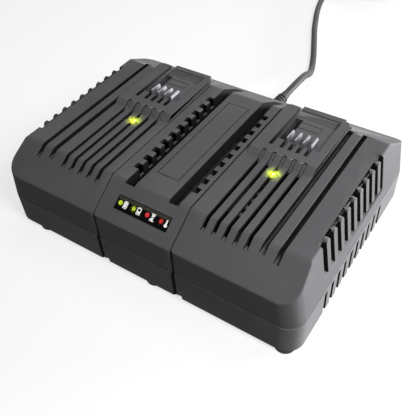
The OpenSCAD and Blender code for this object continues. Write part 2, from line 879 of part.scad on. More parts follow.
// flat bundle from the main board up to the indicator board
module indicator_leads() {
    bottom = [spine_centre - 5, indicator_lead_y, board_top];
    length = 31;
    color("#b0b0ac") translate([bottom[0], bottom[1], bottom[2]]) for (k = [0 : 4])
        translate([k * 2.5, 0, 0]) cylinder(r = 0.6, h = length);
}

module mains_leads() {
    color("#3a5fa0") for (x = [-2, 2]) {
        translate([x, mains_lead_y, board_top]) cylinder(r = 1.1, h = cord_exit_z - board_top);
        translate([x, mains_lead_y, cord_exit_z]) sphere(r = 1.1);
        translate([x, half_depth - wall - 2.5, cord_exit_z]) rotate([90, 0, 0])
            cylinder(r = 1.1, h = half_depth - wall - 2.5 - mains_lead_y);
    }
}

// ---- fixings ----

module housing_screws() {
    color("#8d8f92") housing_screw_places() translate([0, 0, screw_shoulder]) self_tapping_screw(screw_length);
}

module board_screws() {
    color("#8d8f92") at_each(board_posts) translate([0, 0, board_top]) mirror([0, 0, 1])
        self_tapping_screw(board_thickness + 5);
}

module dock_screws() {
    color("#8d8f92") {
        for (centre = [-dock_offset, dock_offset]) translate([centre, 0, 0]) {
            dock_screw_places() translate([0, 0, top_height - 2 * wall]) self_tapping_screw(2 * wall + 1.8);
            at_each(dock_board_posts) translate([0, 0, dock_board_z]) self_tapping_screw(board_screw_length);
        }
        on_front_slope() indicator_screw_places()
            translate([0, 0, indicator_board_top - board_thickness]) self_tapping_screw(board_screw_length);
    }
}

// domed rubber foot with a barbed stem that is pulled through the floor
module feet() {
    barb = foot_height + wall;
    color("#2c2c2c") foot_places() rotate_extrude() polygon([
        [0, 0],
        for (a = [0 : 22.5 : 90])
            [foot_radius - foot_round * (1 - sin(a)), foot_round * (1 - cos(a))],
        [foot_radius, foot_height], [stem_radius, foot_height], [stem_radius, barb],
        [stem_radius + 0.7, barb], [stem_radius - 0.6, barb + 2.4], [0, barb + 2.4]
    ]);
}

// ---- mains lead ----

module along_rear() {
    translate([0, 0, cord_exit_z]) rotate([-90, 0, 0]) children();
}

module relief_neck_hole() {
    along_rear() translate([0, 0, half_depth - wall - cut]) cylinder(r = relief_neck, h = wall + 2 * cut);
}

// flange inside the wall, neck in the wall and, outside it, a slim core with ribs that grow smaller
module strain_relief() {
    inside = half_depth - wall;
    function rib_radius(k) = relief_root + (relief_tip - relief_root) * k / (relief_ribs - 1);
    color("#303032") along_rear() {
        translate([0, 0, inside - relief_flange[1]]) cylinder(r = relief_flange[0], h = relief_flange[1]);
        translate([0, 0, inside - cut]) cylinder(r = relief_neck, h = wall + 2 * cut);
        translate([0, 0, half_depth]) cylinder(r1 = relief_neck, r2 = relief_core, h = relief_length);
        for (k = [0 : relief_ribs - 1])
            translate([0, 0, half_depth + k * relief_pitch]) cylinder(r = rib_radius(k), h = relief_rib);
    }
}

// round tube through a list of points, with its rings set square to the path
module tube(points, radius, sides) {
    last = len(points) - 1;
    function unit(v) = v / norm(v);
    function along(k) = unit(points[min(k + 1, last)] - points[max(k - 1, 0)]);
    function across(k) = unit(cross(along(k), [0, 0, 1]));
    function above(k) = cross(across(k), along(k));
    rings = [for (k = [0 : last], s = [0 : sides - 1])
        points[k] + radius * (cos(s * 360 / sides) * across(k) + sin(s * 360 / sides) * above(k))];
    sleeve = [for (k = [0 : last - 1], s = [0 : sides - 1])
        [k * sides + s, k * sides + (s + 1) % sides, (k + 1) * sides + (s + 1) % sides, (k + 1) * sides + s]];
    first_cap = [for (s = [sides - 1 : -1 : 0]) s];
    last_cap = [for (s = [0 : sides - 1]) last * sides + s];
    polyhedron(points = rings, faces = concat(sleeve, [first_cap, last_cap]));
}

module cord_run() {
    color("#2a2a2b") tube(cord_points, cord_radius, cord_sides);
}

// seven turns in a neat bundle, with the ends that lead in and out along its tangents
module cord_coil() {
    side_turn = 180 / cord_sides;
    color("#2a2a2b") {
        translate([coil_x, coil_y, 0]) rotate_extrude() {
            for (row = [[2, 0], [3, 1], [2, 2]], k = [0 : row[0] - 1])
                translate([
                    coil_radius + (k - (row[0] - 1) / 2) * strand_pitch,
                    cord_radius + row[1] * row_rise
                ]) circle(cord_radius, $fn = cord_sides);
        }
        translate([lead_in_x, coil_y, cord_radius]) rotate([90, 0, 0]) rotate(side_turn)
            cylinder(r = cord_radius, h = lead_length, $fn = cord_sides);
        translate([coil_x, plug_y, plug_z]) rotate([0, 90, 0]) rotate(side_turn)
            cylinder(r = cord_radius, h = lead_length, $fn = cord_sides);
    }
}

// flat two-pin plug with a tapered neck
module plug_body() {
    color("#2a2a2b") translate([plug_start, plug_y, plug_z]) {
        rotate([0, 90, 0]) cylinder(r1 = relief_core, r2 = relief_root, h = plug_relief + cut);
        side = plug_width / 2;
        translate([plug_relief, 0, -plug_z]) linear_extrude(2 * plug_z) polygon([
            [0, -8], [12, -side], [plug_length - 4, -side], [plug_length, 4 - side],
            [plug_length, side - 4], [plug_length - 4, side], [12, side], [0, 8]
        ]);
    }
}

module plug_pins() {
    color("#c4c5c8") translate([plug_start + plug_relief + plug_length, plug_y, plug_z]) rotate([0, 90, 0])
        for (y = [-0.5, 0.5]) translate([0, y * pin_spacing, 0]) {
            cylinder(r = pin_radius, h = pin_length - pin_radius);
            translate([0, 0, pin_length - pin_radius]) sphere(r = pin_radius);
        }
}

bottom_housing();
left_top_housing();
right_top_housing();
spine_cover();
left_dock_frame();
right_dock_frame();
left_contact_block();
right_contact_block();
left_contact_blades();
right_contact_blades();
left_dock_board();
right_dock_board();
left_dock_light();
right_dock_light();
status_window();
status_light_guides();
indicator_board();
indicator_lamps();
main_board();
transformer_core();
transformer_winding();
mains_capacitor();
output_capacitors();
switch_heatsink();
rectifier_heatsink();
power_transistors();
mains_choke();
x_capacitor();
bridge_rectifier();
fuse();
dock_leads();
indicator_leads();
mains_leads();
housing_screws();
board_screws();
dock_screws();
feet();
strain_relief();
cord_run();
cord_coil();
plug_body();
plug_pins();
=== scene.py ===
from math import atan2, cos, pi, radians, sin, sqrt

import bmesh
import bpy
from mathutils import Matrix, Vector
from mathutils.bvhtree import BVHTree


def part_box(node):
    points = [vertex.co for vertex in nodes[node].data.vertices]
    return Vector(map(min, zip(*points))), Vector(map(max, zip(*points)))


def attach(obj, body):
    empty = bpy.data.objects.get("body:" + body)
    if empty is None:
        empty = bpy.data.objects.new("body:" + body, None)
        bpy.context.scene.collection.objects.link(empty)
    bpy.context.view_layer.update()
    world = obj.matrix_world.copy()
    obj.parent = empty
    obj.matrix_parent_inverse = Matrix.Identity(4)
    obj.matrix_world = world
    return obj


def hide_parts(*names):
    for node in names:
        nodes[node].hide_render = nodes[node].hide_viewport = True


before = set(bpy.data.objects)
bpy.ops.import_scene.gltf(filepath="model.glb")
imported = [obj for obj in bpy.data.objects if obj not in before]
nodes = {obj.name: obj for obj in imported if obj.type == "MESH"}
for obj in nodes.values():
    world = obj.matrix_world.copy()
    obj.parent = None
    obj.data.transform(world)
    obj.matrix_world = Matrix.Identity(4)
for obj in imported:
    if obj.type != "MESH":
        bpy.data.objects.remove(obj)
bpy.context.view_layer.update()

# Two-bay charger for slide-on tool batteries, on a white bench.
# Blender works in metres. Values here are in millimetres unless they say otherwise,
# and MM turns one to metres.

MM = 0.001
scene = bpy.context.scene
scene.view_settings.view_transform = "Standard"


# ---- camera ----

def studio_camera(place_mm, yaw, pitch, roll, lens_mm, sensor_mm=36.0):
    """Yaw turns the view from +Y towards +X, pitch lifts it, and roll tips its right side up."""
    ahead = Vector((sin(yaw) * cos(pitch), cos(yaw) * cos(pitch), sin(pitch)))
    level_right = ahead.cross(Vector((0, 0, 1))).normalized()
    level_up = level_right.cross(ahead)
    right = cos(roll) * level_right + sin(roll) * level_up
    up = cos(roll) * level_up - sin(roll) * level_right
    data = bpy.data.cameras.new("camera")
    data.lens = lens_mm
    data.sensor_width = sensor_mm
    data.clip_start = 0.01
    camera = bpy.data.objects.new("camera", data)
    turn = Matrix((right, up, -ahead)).transposed().to_4x4()
    camera.matrix_world = Matrix.Translation(Vector(place_mm) * MM) @ turn
    scene.collection.objects.link(camera)
    scene.camera = camera


studio_camera(place_mm=(179.45, -249.3, 306.9), yaw=-0.625, pitch=-0.791, roll=-0.064,
              lens_mm=49.98)


# ---- colours and nodes ----

def linear(hex_colour):
    """An sRGB hex value as linear red, green, blue and alpha."""
    channels = [int(hex_colour[i:i + 2], 16) / 255 for i in (1, 3, 5)]
    return [c / 12.92 if c <= 0.04045 else ((c + 0.055) / 1.055) ** 2.4 for c in channels] + [1.0]


def add_node(owner, kind, links=(), numbered=None, **settings):
    """Adds a node with its settings and links.

    A setting that names an input sets its value, and any other sets a property.
    numbered holds values for inputs that share a name with another, by their number.
    """
    tree = owner.node_tree
    node = tree.nodes.new(kind)
    for name, value in settings.items():
        socket = node.inputs.get(name.replace("_", " "))
        if socket is None:
            setattr(node, name, value)
        else:
            socket.default_value = value
    for number, value in (numbered or {}).items():
        node.inputs[number].default_value = value
    for source, target in links:
        tree.links.new(source, node.inputs[target])
    return node


MIX_COLOUR_A, MIX_COLOUR_B, MIX_COLOUR_RESULT = 6, 7, 2


def new_material(name):
    material = bpy.data.materials.new(name)
    material.use_nodes = True
    material.node_tree.nodes.clear()
    return material


def finish_material(material, shader):
    add_node(material, "ShaderNodeOutputMaterial", [(shader.outputs[0], "Surface")])
    return material


# ---- kinds of material ----

# A grain finer than about 0.6 mm doesn't show from where the camera stands. So the fine ones
# are drawn as coarse as they need to show, and each says its real size.
SPARK_GRAIN_MM = 0.9  # real 0.2: the pits that spark erosion leaves in the mould
GAUZE_THREAD_MM = 1.0  # real 0.4: thread spacing
RUBBER_GRAIN_MM = 1.2  # real 0.3
SOFT_RIPPLE_MM = 1.5  # real size: ripples in extruded, cast or printed plastic
BOARD_WEAVE_MM = 2.0  # real 0.5: the glass weave under the solder resist
TAPE_WRINKLE_MM = 2.0  # real size: wrinkles of tape pulled round a winding
CAST_RIPPLE_MM = 2.0  # real size: ripples in a clear moulding
PRESS_MARK_MM = 0.6  # real 0.1: marks of the press or the die
MELT_FLOW_MM = 22  # real size: how widely the flow of the melt clouds a moulding
RESIN_FLOW_MM = 1.2  # real size: thick and thin places in a small clear moulding
# real size: how deep the press or the die marks a metal
PRESS_MARK_DEPTH_MM = 0.004

# how much of its finer detail a pattern keeps, from 0 to 1
FINE_DETAIL = 0.55
# how far a surface strays from its own colour, roughness or brightness
CLOUDINESS = 0.12
PLASTIC_GLOSS_SPREAD, METAL_GLOSS_SPREAD = 0.07, 0.08
GLOW_SPREAD = 0.15


def moulded_plastic(name, colour, roughness, texture_mm, texture_depth_mm, specular=0.5):
    """Plastic with its mould's matte texture, which breaks up the gloss, and a faint cloudiness."""
    material = new_material(name)
    place = add_node(material, "ShaderNodeTexCoord")
    flow = add_node(material, "ShaderNodeTexNoise", [(place.outputs["Object"], "Vector")],
                    Scale=1 / (MELT_FLOW_MM * MM), Detail=2.0, Roughness=FINE_DETAIL)
    texture = add_node(material, "ShaderNodeTexNoise", [(place.outputs["Object"], "Vector")],
                       Scale=1 / (texture_mm * MM), Detail=3.0, Roughness=FINE_DETAIL)
    *tint, alpha = linear(colour)
    darker = [channel * (1 - CLOUDINESS) for channel in tint] + [alpha]
    lighter = [channel * (1 + CLOUDINESS) for channel in tint] + [alpha]
    clouded = add_node(material, "ShaderNodeMix", [(flow.outputs["Fac"], "Factor")],
                       numbered={MIX_COLOUR_A: darker, MIX_COLOUR_B: lighter}, data_type="RGBA")
    gloss = add_node(material, "ShaderNodeMapRange", [(texture.outputs["Fac"], "Value")],
                     To_Min=roughness - PLASTIC_GLOSS_SPREAD,
                     To_Max=roughness + PLASTIC_GLOSS_SPREAD)
    bump = add_node(material, "ShaderNodeBump", [(texture.outputs["Fac"], "Height")],
                    Strength=1.0, Distance=texture_depth_mm * MM)
    shader = add_node(material, "ShaderNodeBsdfPrincipled",
                      [(clouded.outputs[MIX_COLOUR_RESULT], "Base Color"),
                       (gloss.outputs[0], "Roughness"), (bump.outputs[0], "Normal")],
                      IOR=1.5, Specular_IOR_Level=specular)
    return finish_material(material, shader)


def worked_metal(name, colour, roughness):
    """Metal with fine marks of its press or its die, which soften what it mirrors."""
    material = new_material(name)
    place = add_node(material, "ShaderNodeTexCoord")
    marks = add_node(material, "ShaderNodeTexNoise", [(place.outputs["Object"], "Vector")],
                     Scale=1 / (PRESS_MARK_MM * MM), Detail=4.0, Roughness=FINE_DETAIL)
    gloss = add_node(material, "ShaderNodeMapRange", [(marks.outputs["Fac"], "Value")],
                     To_Min=roughness - METAL_GLOSS_SPREAD, To_Max=roughness + METAL_GLOSS_SPREAD)
    bump = add_node(material, "ShaderNodeBump", [(marks.outputs["Fac"], "Height")],
                    Strength=1.0, Distance=PRESS_MARK_DEPTH_MM * MM)
    shader = add_node(material, "ShaderNodeBsdfPrincipled",
                      [(gloss.outputs[0], "Roughness"), (bump.outputs[0], "Normal")],
                      Metallic=1.0, Base_Color=linear(colour))
    return finish_material(material, shader)


def lit_lens(name, colour, glow, strength):
    """Clear lens or print over a lamp: brighter where its resin is thin."""
    material = new_material(name)
    place = add_node(material, "ShaderNodeTexCoord")
    flow = add_node(material, "ShaderNodeTexNoise", [(place.outputs["Object"], "Vector")],
                    Scale=1 / (RESIN_FLOW_MM * MM), Detail=1.0, Roughness=FINE_DETAIL)
    level = add_node(material, "ShaderNodeMapRange", [(flow.outputs["Fac"], "Value")],
                     To_Min=strength * (1 - GLOW_SPREAD), To_Max=strength * (1 + GLOW_SPREAD))
    shader = add_node(material, "ShaderNodeBsdfPrincipled",
                      [(level.outputs[0], "Emission Strength")],
                      Roughness=0.3, Base_Color=linear(colour), Emission_Color=linear(glow))
    return finish_material(material, shader)


def light_pipe(name, colour, glow, strength, dark_to_mm, lit_from_mm):
    """Clear upright pipe that is dark along its shaft and lets its light out at the tip."""
    material = new_material(name)
    place = add_node(material, "ShaderNodeTexCoord")
    axes = add_node(material, "ShaderNodeSeparateXYZ", [(place.outputs["Object"], "Vector")])
    level = add_node(material, "ShaderNodeMapRange", [(axes.outputs["Z"], "Value")],
                     From_Min=dark_to_mm * MM, From_Max=lit_from_mm * MM, To_Max=strength)
    shader = add_node(material, "ShaderNodeBsdfPrincipled",
                      [(level.outputs[0], "Emission Strength")],
                      Roughness=0.3, Base_Color=linear(colour), Emission_Color=linear(glow))
    return finish_material(material, shader)


def painted_glow_strip(name, colour, glow, strength, lamp, reach_mm):
    """Clear strip with painted light: a glow that is brightest at a lamp, a place in metres, and
    fades out along its reach.
    """
    material = new_material(name)
    place = add_node(material, "ShaderNodeTexCoord")
    away = add_node(material, "ShaderNodeVectorMath", [(place.outputs["Object"], 0)],
                    numbered={1: lamp}, operation="DISTANCE")
    level = add_node(material, "ShaderNodeMapRange", [(away.outputs["Value"], "Value")],
                     From_Max=reach_mm * MM, To_Min=strength, To_Max=0.0)
    shader = add_node(material, "ShaderNodeBsdfPrincipled",
                      [(level.outputs[0], "Emission Strength")],
                      Roughness=0.5, Base_Color=linear(colour), Emission_Color=linear(glow))
    return finish_material(material, shader)


# ---- the charger's materials ----

# matte grey skin with a fine grain, which scatters the light evenly
TOP_ABS = moulded_plastic("textured_abs_top", "#59595b", 0.7, SPARK_GRAIN_MM, 0.05, specular=0.09)
# the same skin on the lower shell, painted a shade lighter for the brighter light that falls on its
# sides
SHELL_PAINTED_LIGHT_ABS = moulded_plastic("textured_abs_shell_painted_light", "#6a6a6c", 0.7, SPARK_GRAIN_MM, 0.05,
                            specular=0.09)
# painted shade: walls of slots, trenches and docks, made nearly black for the shade in these
# recesses, beside the textured skin
RECESS_SHADE_ABS = moulded_plastic("painted_shade_abs_walls", "#1d1c1d", 0.8, SPARK_GRAIN_MM, 0.02, specular=0.06)
# contact blocks: a tougher plastic, darker than the skin and with a soft sheen
DOCK_NYLON = moulded_plastic("moulded_nylon_dock", "#49494b", 0.55, SPARK_GRAIN_MM, 0.03,
                             specular=0.3)
# black weave behind the vents, a dark sheet that lets no shape through and stands in for the shade
# inside them
SHADE_GAUZE = moulded_plastic("black_gauze_painted_shade", "#141415", 0.8, GAUZE_THREAD_MM, 0.1, specular=0.05)
# feet and strain relief: dark and dull, with soft highlights
RUBBER = moulded_plastic("moulded_rubber", "#2b2b2d", 0.65, RUBBER_GRAIN_MM, 0.04, specular=0.3)
# lead: smooth and dark, with a long broad highlight along its round
CORD_PVC = moulded_plastic("extruded_pvc_jacket", "#262627", 0.55, SOFT_RIPPLE_MM, 0.02,
                           specular=0.25)
# plug: as dark as the lead and a little glossier
PLUG_PVC = moulded_plastic("moulded_pvc_plug", "#2b2b2c", 0.5, SOFT_RIPPLE_MM, 0.02, specular=0.4)
# status panel: flat, deep black
FILM = moulded_plastic("printed_polyester_film", "#060606", 0.5, SOFT_RIPPLE_MM, 0.003,
                       specular=0.03)
# brownish grey band printed along the panel's upper edge
FILM_BORDER = moulded_plastic("printed_film_border", "#3b3932", 0.5, SOFT_RIPPLE_MM, 0.003,
                              specular=0.06)
# blades and plug pins: pale grey metal with bright edges and no clear reflections
NICKEL = worked_metal("stamped_nickel_plate", "#94959a", 0.6)
# screws: bright bluish grey
STEEL = worked_metal("zinc_plated_steel", "#9c9ea2", 0.4)
# heatsinks: light, softly brushed grey
ALUMINIUM = worked_metal("extruded_aluminium", "#a7aaae", 0.45)
# boards: very dark green, with a dull lacquer
BOARD = moulded_plastic("solder_resist_board", "#0c1a11", 0.55, BOARD_WEAVE_MM, 0.01, specular=0.2)
# electronic parts: plain black cases
CASE_RESIN = moulded_plastic("moulded_resin_case", "#1f1f21", 0.5, SOFT_RIPPLE_MM, 0.02)
# choke: reddish brown lacquered wire
COPPER = worked_metal("enamelled_copper_wire", "#a3552b", 0.4)
# transformer: glossy yellow tape round the winding
TAPE = moulded_plastic("polyester_winding_tape", "#c9a227", 0.35, TAPE_WRINKLE_MM, 0.01)
# guides and lamp caps: pale, shiny and slightly green
CLEAR_GUIDE = moulded_plastic("moulded_acrylic_guide", "#c9ceb0", 0.3, CAST_RIPPLE_MM, 0.005)
# bay light: olive shaft and a tip so bright that it looks nearly white
BAY_LIGHT = light_pipe("moulded_acrylic_light_pipe", "#8a9440", glow="#f2fb58", strength=9.0,
                       dark_to_mm=61.4, lit_from_mm=61.9)
# panel lights: saturated colours that glow a little
GREEN_LIGHT = lit_lens("lit_green_acrylic", "#6f8018", glow="#b6cc12", strength=0.75)
RED_LIGHT = lit_lens("lit_red_acrylic", "#6e0f10", glow="#cc1212", strength=0.7)
# panel signs: clean white
WHITE_INK = lit_lens("backlit_white_ink", "#e6e6e4", glow="#ffffff", strength=0.2)

FINISHES = {
    TOP_ABS: ("left_top_housing", "right_top_housing", "spine_cover",
              "left_dock_frame", "right_dock_frame"),
    SHELL_PAINTED_LIGHT_ABS: ("bottom_housing",),
    DOCK_NYLON: ("left_contact_block", "right_contact_block"),
    RUBBER: ("feet", "strain_relief"),
    CORD_PVC: ("cord_run", "cord_coil"),
    PLUG_PVC: ("plug_body",),
    FILM: ("status_window",),
    NICKEL: ("left_contact_blades", "right_contact_blades", "plug_pins"),
    STEEL: ("housing_screws", "board_screws", "dock_screws"),
    ALUMINIUM: ("switch_heatsink", "rectifier_heatsink"),
    BOARD: ("main_board", "left_dock_board", "right_dock_board", "indicator_board"),
    CASE_RESIN: ("transformer_core", "power_transistors", "bridge_rectifier", "mains_capacitor",
                 "output_capacitors", "dock_leads", "mains_leads", "indicator_leads"),
    COPPER: ("mains_choke",),
    TAPE: ("transformer_winding", "x_capacitor"),
    BAY_LIGHT: ("left_dock_light", "right_dock_light"),
    CLEAR_GUIDE: ("status_light_guides", "indicator_lamps", "fuse"),
}


def dress(piece, *materials):
    piece.data.materials.clear()
    for material in materials:
        piece.data.materials.append(material)


for material, names in FINISHES.items():
    for name in names:
        dress(nodes[name], material)


# ---- shapes ----

def add_block(bm, middle, size):
    """Adds a plain block, such as a strip, a sheet or a printed bar."""
    block = bmesh.ops.create_cube(bm, size=MM)["verts"]
    bmesh.ops.scale(bm, vec=size, verts=block)
    bmesh.ops.translate(bm, vec=Vector(middle) * MM, verts=block)


def pull(bm, face, reach):
    """Pulls a face out into a solid, by a reach in metres."""
    pulled = bmesh.ops.extrude_face_region(bm, geom=[face])["geom"]
    far = [part for part in pulled if isinstance(part, bmesh.types.BMVert)]
    bmesh.ops.translate(bm, vec=reach, verts=far)


def add_piece(name, bm, material):
    """Makes a finished shape a piece of the charger."""
    mesh = bpy.data.meshes.new(name)
    bm.to_mesh(mesh)
    bm.free()
    piece = bpy.data.objects.new(name, mesh)
    scene.collection.objects.link(piece)
    dress(piece, material)
    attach(piece, "root")


# ---- mains lead ----

CORD_DIAMETER = 6.0
CORD_RADIUS = CORD_DIAMETER / 2
RELIEF_END = 121.0
COIL_MIDDLE = (-34.0, 402.0)
COIL_RADIUS = 33.0
# turns lie a little closer than a diameter, since the jacket gives
STRAND_PITCH = 5.7
ROW_RISE = STRAND_PITCH * sqrt(3) / 2
# the lead comes straight along the coil's left side, up to this far before the coil's middle
COIL_TAIL = 34.0
TAIL_X = COIL_MIDDLE[0] - COIL_RADIUS - STRAND_PITCH / 2

# straight out of the relief and down to the bench
CORD_ROUTE = [
    (0, 96, 26), (0, RELIEF_END, 26), (0, RELIEF_END + 6, 26), (0, 137, 26), (0, 147, 25.6),
    (-1, 157, 23.5), (-3, 167, 19), (-6, 178, 12.5), (-9, 189, 6.8),
]
# along the bench to the coil
CORD_ROUTE += [(x, y, CORD_RADIUS) for x, y in (
    (-13, 201), (-18, 214), (-24, 228), (-31, 243), (-38, 258), (-45, 273), (-51, 288),
    (-57, 303), (-62, 318), (-66, 333), (-69, 348),
    (TAIL_X, COIL_MIDDLE[1] - COIL_TAIL - 5), (TAIL_X, COIL_MIDDLE[1] - COIL_TAIL),
)]

# Each turn's place in the bundle: how many strands outside the middle turn, how many rows up,
# and the share of the turn after which the lead moves on. The seventh turn drops as soon as it
# has passed over the lead's own end, which leaves the bundle after a last quarter.
TURNS = [(0.5, 0, 0.7), (-0.5, 0, 0.7), (-1, 1, 0.7), (0, 1, 0.7), (-0.5, 2, 0.7), (0.5, 2, 0.7),
         (1.5, 2, 0.3), (1, 1, 0.7)]
MOVE_SHARE = 0.3
# where the lead leaves the coil, to the right of its middle, and how deep it goes into the plug
LEAD_OUT_START, PLUG_GRIP = 12.0, 3.0


def coil_route(steps=16):
    """Clockwise turns, each of which eases over to the next one's place in the bundle."""
    points = []
    for turn, (out, row, moves_after) in enumerate(TURNS):
        following = TURNS[min(turn + 1, len(TURNS) - 1)]
        last_turn = turn == len(TURNS) - 1
        for step in range(steps // 4 + 1 if last_turn else steps):
            moved = min(max(0.0, (step / steps - moves_after) / MOVE_SHARE), 1.0)
            eased = moved * moved * (3 - 2 * moved)
            angle = pi - 2 * pi * step / steps
            radius = COIL_RADIUS + STRAND_PITCH * (out + (following[0] - out) * eased)
            height = CORD_RADIUS + ROW_RISE * (row + (following[1] - row) * eased)
            points.append((COIL_MIDDLE[0] + radius * cos(angle),
                           COIL_MIDDLE[1] + radius * sin(angle), height))
    return points


def lead_out():
    """Straight end of the lead, from the coil into the plug."""
    plug_low, plug_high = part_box("plug_body")
    middle_y = (plug_low.y + plug_high.y) / 2 / MM
    return [(x, middle_y, CORD_RADIUS + ROW_RISE)
            for x in (COIL_MIDDLE[0] + LEAD_OUT_START, plug_low.x / MM + PLUG_GRIP)]


def mains_lead(route):
    curve = bpy.data.curves.new("mains_lead", "CURVE")
    curve.dimensions = "3D"
    curve.bevel_depth = CORD_RADIUS * MM
    curve.bevel_resolution = 5
    curve.resolution_u = 4
    curve.use_fill_caps = True
    spline = curve.splines.new("NURBS")
    spline.points.add(len(route) - 1)
    for point, place in zip(spline.points, route):
        point.co = (*[c * MM for c in place], 1)
    spline.order_u = 3
    spline.use_endpoint_u = True
    lead = bpy.data.objects.new("mains_lead", curve)
    scene.collection.objects.link(lead)
    lead.data.materials.append(CORD_PVC)
    return lead


lead = mains_lead(CORD_ROUTE + coil_route() + lead_out())
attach(lead, "root")
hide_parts("cord_run", "cord_coil")


# ---- bench and light ----

def seen_directly(owner):
    """1 where the camera, a gloss or a glass looks at it, and 0 where it only gives light."""
    rays = add_node(owner, "ShaderNodeLightPath")
    seen = rays.outputs["Is Camera Ray"]
    for ray in ("Is Glossy Ray", "Is Transmission Ray"):
        seen = add_node(owner, "ShaderNodeMath", [(seen, 0), (rays.outputs[ray], 1)],
                        operation="MAXIMUM").outputs[0]
    return seen


def bench(width, glow):
    """Floor that looks white and keeps a soft shadow, but throws little light back on the charger.

    Its width is in metres, and its glow is what makes it white where it is looked at.
    """
    material = new_material("painted_white_bench")
    seen = seen_directly(material)
    level = add_node(material, "ShaderNodeMapRange", [(seen, "Value")], To_Max=glow)
    white = add_node(material, "ShaderNodeEmission", [(level.outputs[0], "Strength")])
    lighting_shade, seen_shade = linear("#505050"), linear("#959595")
    shade = add_node(material, "ShaderNodeMix", [(seen, "Factor")], data_type="RGBA",
                     numbered={MIX_COLOUR_A: lighting_shade, MIX_COLOUR_B: seen_shade})
    matte = add_node(material, "ShaderNodeBsdfDiffuse",
                     [(shade.outputs[MIX_COLOUR_RESULT], "Color")])
    both = add_node(material, "ShaderNodeAddShader", [(white.outputs[0], 0), (matte.outputs[0], 1)])
    finish_material(material, both)
    mesh = bpy.data.meshes.new("bench")
    bm = bmesh.new()
    bmesh.ops.create_grid(bm, x_segments=1, y_segments=1, size=width / 2)
    bm.to_mesh(mesh)
    bm.free()
    floor = bpy.data.objects.new("bench", mesh)
    scene.collection.objects.link(floor)
    dress(floor, material)


def world_light(ambient):
    """White backdrop that gives the charger only a faint light from all round."""
    world = bpy.data.worlds.new("studio")
    world.use_nodes = True
    world.node_tree.nodes.clear()
    level = add_node(world, "ShaderNodeMapRange", [(seen_directly(world), "Value")], To_Min=ambient)
    sky = add_node(world, "ShaderNodeBackground", [(level.outputs[0], "Strength")],
                   Color=(1, 1, 1, 1))
    add_node(world, "ShaderNodeOutputWorld", [(sky.outputs[0], "Surface")])
    scene.world = world


# place, width, height, all in metres, and watts: the top and rear ones fill, the high right one
# lights the top and the slope, and the low right one rakes along the flank
SOFTBOXES = {
    "top_softbox": ((0.0, 0.45, 1.2), 1.0, 0.6, 3.2),
    "high_right_softbox": ((0.50, -0.16, 0.58), 0.25, 0.25, 5.0),
    "right_softbox": ((0.95, 0.85, 0.09), 0.6, 0.16, 42.0),
    "rear_softbox": ((-0.1, 1.3, 0.42), 1.2, 0.4, 5.0),
}
CHARGER_MIDDLE = Vector((0, 0, 0.03))


def softbox(name, place, width, height, power):
    data = bpy.data.lights.new(name, "AREA")
    data.shape = "RECTANGLE"
    data.size, data.size_y = width, height
    data.energy = power
    lamp = bpy.data.objects.new(name, data)
    aim = (CHARGER_MIDDLE - Vector(place)).to_track_quat("-Z", "Y").to_matrix().to_4x4()
    lamp.matrix_world = Matrix.Translation(place) @ aim
    scene.collection.objects.link(lamp)


bench(width=12.0, glow=0.72)
world_light(ambient=0.03)
for name, setting in SOFTBOXES.items():
    softbox(name, *setting)


# ---- mouldings with rounded edges ----

FLAT_TOP = 62.7
# the two levels where mouldings meet or end: the parting line and the foot of the shell
PARTING_HEIGHT, SHELL_FOOT = 26.0, 3.0
# the upright corners of the front, where they turn into its slope
CORNERS_BEFORE_Y, CORNERS_ABOVE_Z = -60, 40
# a face whose normal rises less than this is a wall, and one whose normal has this much along
# an axis looks squarely that way
WALL_RISE, SQUARELY = 0.35, 0.9
# a wall looks ahead from just off its surface, straight on and to either side
LOOK_START = 0.05
LOOK_TURNS = (-40, 0, 40)
# the backs of the side combs keep the skin's colour, and the floors of the spine's trenches get the
# painted shade
COMB_BACK_X = (100, 110)
TRENCH_FLOOR_Z = (52, 54)
# triangles that turn less than FLAT_JOIN are one flat face, and a turn from HARD_EDGE up is an edge
FLAT_JOIN, HARD_EDGE, SHARP_CORNER = radians(0.5), radians(25), radians(45)
MERGE_DISTANCE = 0.001
# shortest edges that belong to the form and to a rim, and what a rib's head stays shorter than
FORM_EDGE, RIM_EDGE, RIB_HEAD_EDGE = 5, 1.5, 6
# how near an edge lies to a level that it belongs to, and a rib's head to the flat top
LEVEL_REACH, RIB_HEAD_REACH = 1, 0.7
# rounds of the front's upright corners and of the comb's rib heads, as shares of the form's
CORNER_SHARE, RIB_HEAD_SHARE = 0.5, 0.8


def faces_a_wall(face, tree):
    """Whether a wall looks at another wall of its own moulding, as the sides of a slot do: such
    walls get the painted shade.
    """
    side_distance = abs(face.calc_center_median().x) / MM
    comb_back = abs(face.normal.x) > SQUARELY and COMB_BACK_X[0] < side_distance < COMB_BACK_X[1]
    if face.normal.z > WALL_RISE or comb_back:
        return False
    start = face.calc_center_median_weighted() + face.normal * LOOK_START * MM
    looks = [Matrix.Rotation(radians(turn), 3, "Z") @ face.normal for turn in LOOK_TURNS]
    return any(tree.ray_cast(start, look)[0] is not None for look in looks)


def is_trench_floor(face):
    height = face.calc_center_median().z / MM
    return TRENCH_FLOOR_Z[0] < height < TRENCH_FLOOR_Z[1] and face.normal.z > SQUARELY


